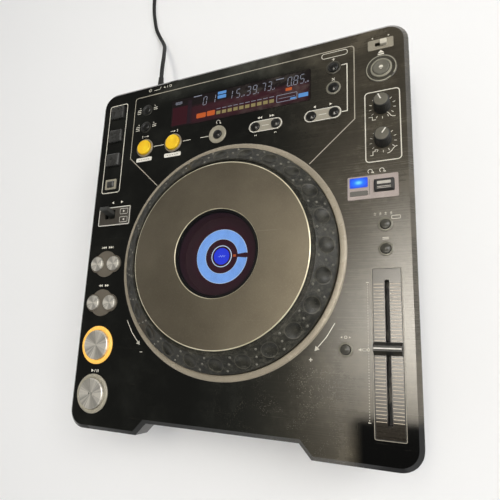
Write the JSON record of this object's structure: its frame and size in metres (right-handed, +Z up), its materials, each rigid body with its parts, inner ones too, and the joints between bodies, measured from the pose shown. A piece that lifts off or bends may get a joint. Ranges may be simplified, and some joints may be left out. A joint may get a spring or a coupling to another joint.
{
  "type": "tabletop disc player",
  "caption": "Tabletop player for discs with a large jog dial, a tempo fader, round and square keys, a display window, a front disc slot and a mains lead.",
  "frame": {"origin": "centre of the footprint (panel front to rear socket ends) on the table", "axes": "+X to the player's right, +Y to the rear, +Z up"},
  "size_m": [0.3318, 0.6596, 0.105],
  "materials": {
    "tray_steel": "zinc-plated sheet, satin",
    "foot_rubber": "matt",
    "screw_steel": "black zinc",
    "shell_plastic": "fine moulded texture",
    "panel_gloss": "polished, with light scratches",
    "window_tint": "tinted, polished",
    "warm_trim": "satin paint",
    "fascia_plastic": "satin",
    "bezel_grey": "satin",
    "ring_amber": "translucent, lit",
    "lamp_blue": "translucent, lit",
    "pan_plastic": "moulded",
    "display_lens": "tinted, polished",
    "board_green": "solder mask",
    "mech_steel": "zinc-plated sheet",
    "socket_black": "satin",
    "dial_plastic": "satin",
    "plate_metal": "satin, olive-grey",
    "control_black": "satin",
    "lock_grey": "satin",
    "key_silver": "spun faces",
    "key_yellow": "satin",
    "key_black": "satin",
    "hub_plastic": "moulded",
    "roller_rubber": "matt",
    "lead_pvc": "satin"
  },
  "bodies": {
    "cabinet": {"bottom_chassis": "tray_steel", "rubber_feet": "foot_rubber", "case_screws": "screw_steel", "body_shell": "shell_plastic", "top_panel": "panel_gloss", "display_window": "window_tint", "jog_trim_ring": "warm_trim", "slot_fascia": "fascia_plastic", "key_bezels": "bezel_grey", "transport_rings": "ring_amber", "slider_plate": "warm_trim", "control_plates": "warm_trim", "mode_lamps": "lamp_blue", "jog_base": "pan_plastic", "centre_display": "display_lens", "panel_boards": "board_green", "inner_boards": "board_green", "mech_frame": "mech_steel", "rear_sockets": "socket_black", "inlet_plug": "lead_pvc", "mains_lead": "lead_pvc", "lead_coil": "lead_pvc", "wall_plug": "lead_pvc"},
    "jog": {"jog_dial": "dial_plastic", "jog_plate": "plate_metal"},
    "fader_cap": {"fader_cap": "control_black"},
    "touch_knob": {"touch_knob": "control_black"},
    "release_knob": {"release_knob": "control_black"},
    "direction_lever": {"direction_lever": "control_black"},
    "eject_lock": {"eject_lock": "lock_grey"},
    "power_key": {"power_key": "key_black"},
    "spindle_hub": {"spindle_hub": "hub_plastic"},
    "pickup_sled": {"pickup_sled": "hub_plastic"},
    "loading_roller": {"loading_roller": "roller_rubber"},
    "play_key": {"play_key": "key_silver"},
    "cue_key": {"cue_key": "key_silver"},
    "search_back_key": {"search_back_key": "key_silver"},
    "search_forward_key": {"search_forward_key": "key_silver"},
    "track_back_key": {"track_back_key": "key_silver"},
    "track_forward_key": {"track_forward_key": "key_silver"},
    "loop_in_key": {"loop_in_key": "key_yellow"},
    "loop_out_key": {"loop_out_key": "key_yellow"},
    "reloop_key": {"reloop_key": "key_black"},
    "eject_key": {"eject_key": "key_black"},
    "hot_cue_1": {"hot_cue_1": "key_black"},
    "hot_cue_2": {"hot_cue_2": "key_black"},
    "hot_cue_3": {"hot_cue_3": "key_black"},
    "jog_mode_key": {"jog_mode_key": "key_black"},
    "record_mode_key": {"record_mode_key": "key_black"},
    "time_mode_key": {"time_mode_key": "key_black"},
    "display_mode_key": {"display_mode_key": "key_black"},
    "wave_back_key": {"wave_back_key": "key_black"},
    "wave_forward_key": {"wave_forward_key": "key_black"},
    "memory_key": {"memory_key": "key_black"},
    "delete_key": {"delete_key": "key_black"},
    "call_back_key": {"call_back_key": "key_black"},
    "call_forward_key": {"call_forward_key": "key_black"},
    "tempo_range_key": {"tempo_range_key": "key_black"},
    "master_tempo_key": {"master_tempo_key": "key_black"},
    "tempo_reset_key": {"tempo_reset_key": "key_black"}
  },
  "joints": [
    {"name": "jog_spin", "type": "hinge", "parent": "cabinet", "child": "jog", "pos_m": [0, -0.0235, 0.1], "axis": [0, 0, 1], "continuous": true},
    {"name": "fader_slide", "type": "slide", "parent": "cabinet", "child": "fader_cap", "axis": [0, 1, 0], "range_m": [-0.0516, 0.0484]},
    {"name": "touch_knob_turn", "type": "hinge", "parent": "cabinet", "child": "touch_knob", "pos_m": [0.1382, 0.0965, 0.095], "axis": [0, 0, 1], "range_deg": [-164, 116]},
    {"name": "release_knob_turn", "type": "hinge", "parent": "cabinet", "child": "release_knob", "pos_m": [0.1382, 0.0665, 0.095], "axis": [0, 0, 1], "range_deg": [-104, 176]},
    {"name": "direction_tilt", "type": "hinge", "parent": "cabinet", "child": "direction_lever", "pos_m": [-0.134, 0.0293, 0.0785], "axis": [1, 0, 0], "range_deg": [0, 20]},
    {"name": "eject_lock_slide", "type": "slide", "parent": "cabinet", "child": "eject_lock", "axis": [1, 0, 0], "range_m": [-0.005, 0]},
    {"name": "power_press", "type": "slide", "parent": "cabinet", "child": "power_key", "axis": [0, 1, 0], "range_m": [0, 0.0025]},
    {"name": "spindle_spin", "type": "hinge", "parent": "cabinet", "child": "spindle_hub", "pos_m": [0, -0.096, 0.04], "axis": [0, 0, 1], "continuous": true},
    {"name": "sled_slide", "type": "slide", "parent": "cabinet", "child": "pickup_sled", "axis": [0, 1, 0], "range_m": [0, 0.033]},
    {"name": "roller_spin", "type": "hinge", "parent": "cabinet", "child": "loading_roller", "pos_m": [0, -0.149, 0.037], "axis": [1, 0, 0], "continuous": true},
    {"name": "play_press", "type": "slide", "parent": "cabinet", "child": "play_key", "axis": [0, 0, -1], "range_m": [0, 0.0012], "stiffness_N_per_m": 200, "springref_m": -0.002},
    {"name": "cue_press", "type": "slide", "parent": "cabinet", "child": "cue_key", "axis": [0, 0, -1], "range_m": [0, 0.0012], "stiffness_N_per_m": 200, "springref_m": -0.002},
    {"name": "search_back_press", "type": "slide", "parent": "cabinet", "child": "search_back_key", "axis": [0, 0, -1], "range_m": [0, 0.0012], "stiffness_N_per_m": 200, "springref_m": -0.002},
    {"name": "search_forward_press", "type": "slide", "parent": "cabinet", "child": "search_forward_key", "axis": [0, 0, -1], "range_m": [0, 0.0012], "stiffness_N_per_m": 200, "springref_m": -0.002},
    {"name": "track_back_press", "type": "slide", "parent": "cabinet", "child": "track_back_key", "axis": [0, 0, -1], "range_m": [0, 0.0012], "stiffness_N_per_m": 200, "springref_m": -0.002},
    {"name": "track_forward_press", "type": "slide", "parent": "cabinet", "child": "track_forward_key", "axis": [0, 0, -1], "range_m": [0, 0.0012], "stiffness_N_per_m": 200, "springref_m": -0.002},
    {"name": "loop_in_press", "type": "slide", "parent": "cabinet", "child": "loop_in_key", "axis": [0, 0, -1], "range_m": [0, 0.0012], "stiffness_N_per_m": 200, "springref_m": -0.002},
    {"name": "loop_out_press", "type": "slide", "parent": "cabinet", "child": "loop_out_key", "axis": [0, 0, -1], "range_m": [0, 0.0012], "stiffness_N_per_m": 200, "springref_m": -0.002},
    {"name": "reloop_press", "type": "slide", "parent": "cabinet", "child": "reloop_key", "axis": [0, 0, -1], "range_m": [0, 0.0012], "stiffness_N_per_m": 200, "springref_m": -0.002},
    {"name": "eject_press", "type": "slide", "parent": "cabinet", "child": "eject_key", "axis": [0, 0, -1], "range_m": [0, 0.0012], "stiffness_N_per_m": 200, "springref_m": -0.002},
    {"name": "hot_cue_1_press", "type": "slide", "parent": "cabinet", "child": "hot_cue_1", "axis": [0, 0, -1], "range_m": [0, 0.0012], "stiffness_N_per_m": 200, "springref_m": -0.002},
    {"name": "hot_cue_2_press", "type": "slide", "parent": "cabinet", "child": "hot_cue_2", "axis": [0, 0, -1], "range_m": [0, 0.0012], "stiffness_N_per_m": 200, "springref_m": -0.002},
    {"name": "hot_cue_3_press", "type": "slide", "parent": "cabinet", "child": "hot_cue_3", "axis": [0, 0, -1], "range_m": [0, 0.0012], "stiffness_N_per_m": 200, "springref_m": -0.002},
    {"name": "jog_mode_press", "type": "slide", "parent": "cabinet", "child": "jog_mode_key", "axis": [0, 0, -1], "range_m": [0, 0.0012], "stiffness_N_per_m": 200, "springref_m": -0.002},
    {"name": "record_mode_press", "type": "slide", "parent": "cabinet", "child": "record_mode_key", "axis": [0, 0, -1], "range_m": [0, 0.0012], "stiffness_N_per_m": 200, "springref_m": -0.002},
    {"name": "time_mode_press", "type": "slide", "parent": "cabinet", "child": "time_mode_key", "axis": [0, 0, -1], "range_m": [0, 0.0012], "stiffness_N_per_m": 200, "springref_m": -0.002},
    {"name": "display_mode_press", "type": "slide", "parent": "cabinet", "child": "display_mode_key", "axis": [0, 0, -1], "range_m": [0, 0.0012], "stiffness_N_per_m": 200, "springref_m": -0.002},
    {"name": "wave_back_press", "type": "slide", "parent": "cabinet", "child": "wave_back_key", "axis": [0, 0, -1], "range_m": [0, 0.0012], "stiffness_N_per_m": 200, "springref_m": -0.002},
    {"name": "wave_forward_press", "type": "slide", "parent": "cabinet", "child": "wave_forward_key", "axis": [0, 0, -1], "range_m": [0, 0.0012], "stiffness_N_per_m": 200, "springref_m": -0.002},
    {"name": "memory_press", "type": "slide", "parent": "cabinet", "child": "memory_key", "axis": [0, 0, -1], "range_m": [0, 0.0012], "stiffness_N_per_m": 200, "springref_m": -0.002},
    {"name": "delete_press", "type": "slide", "parent": "cabinet", "child": "delete_key", "axis": [0, 0, -1], "range_m": [0, 0.0012], "stiffness_N_per_m": 200, "springref_m": -0.002},
    {"name": "call_back_press", "type": "slide", "parent": "cabinet", "child": "call_back_key", "axis": [0, 0, -1], "range_m": [0, 0.0012], "stiffness_N_per_m": 200, "springref_m": -0.002},
    {"name": "call_forward_press", "type": "slide", "parent": "cabinet", "child": "call_forward_key", "axis": [0, 0, -1], "range_m": [0, 0.0012], "stiffness_N_per_m": 200, "springref_m": -0.002},
    {"name": "tempo_range_press", "type": "slide", "parent": "cabinet", "child": "tempo_range_key", "axis": [0, 0, -1], "range_m": [0, 0.0012], "stiffness_N_per_m": 200, "springref_m": -0.002},
    {"name": "master_tempo_press", "type": "slide", "parent": "cabinet", "child": "master_tempo_key", "axis": [0, 0, -1], "range_m": [0, 0.0012], "stiffness_N_per_m": 200, "springref_m": -0.002},
    {"name": "tempo_reset_press", "type": "slide", "parent": "cabinet", "child": "tempo_reset_key", "axis": [0, 0, -1], "range_m": [0, 0.0012], "stiffness_N_per_m": 200, "springref_m": -0.002}
  ]
}
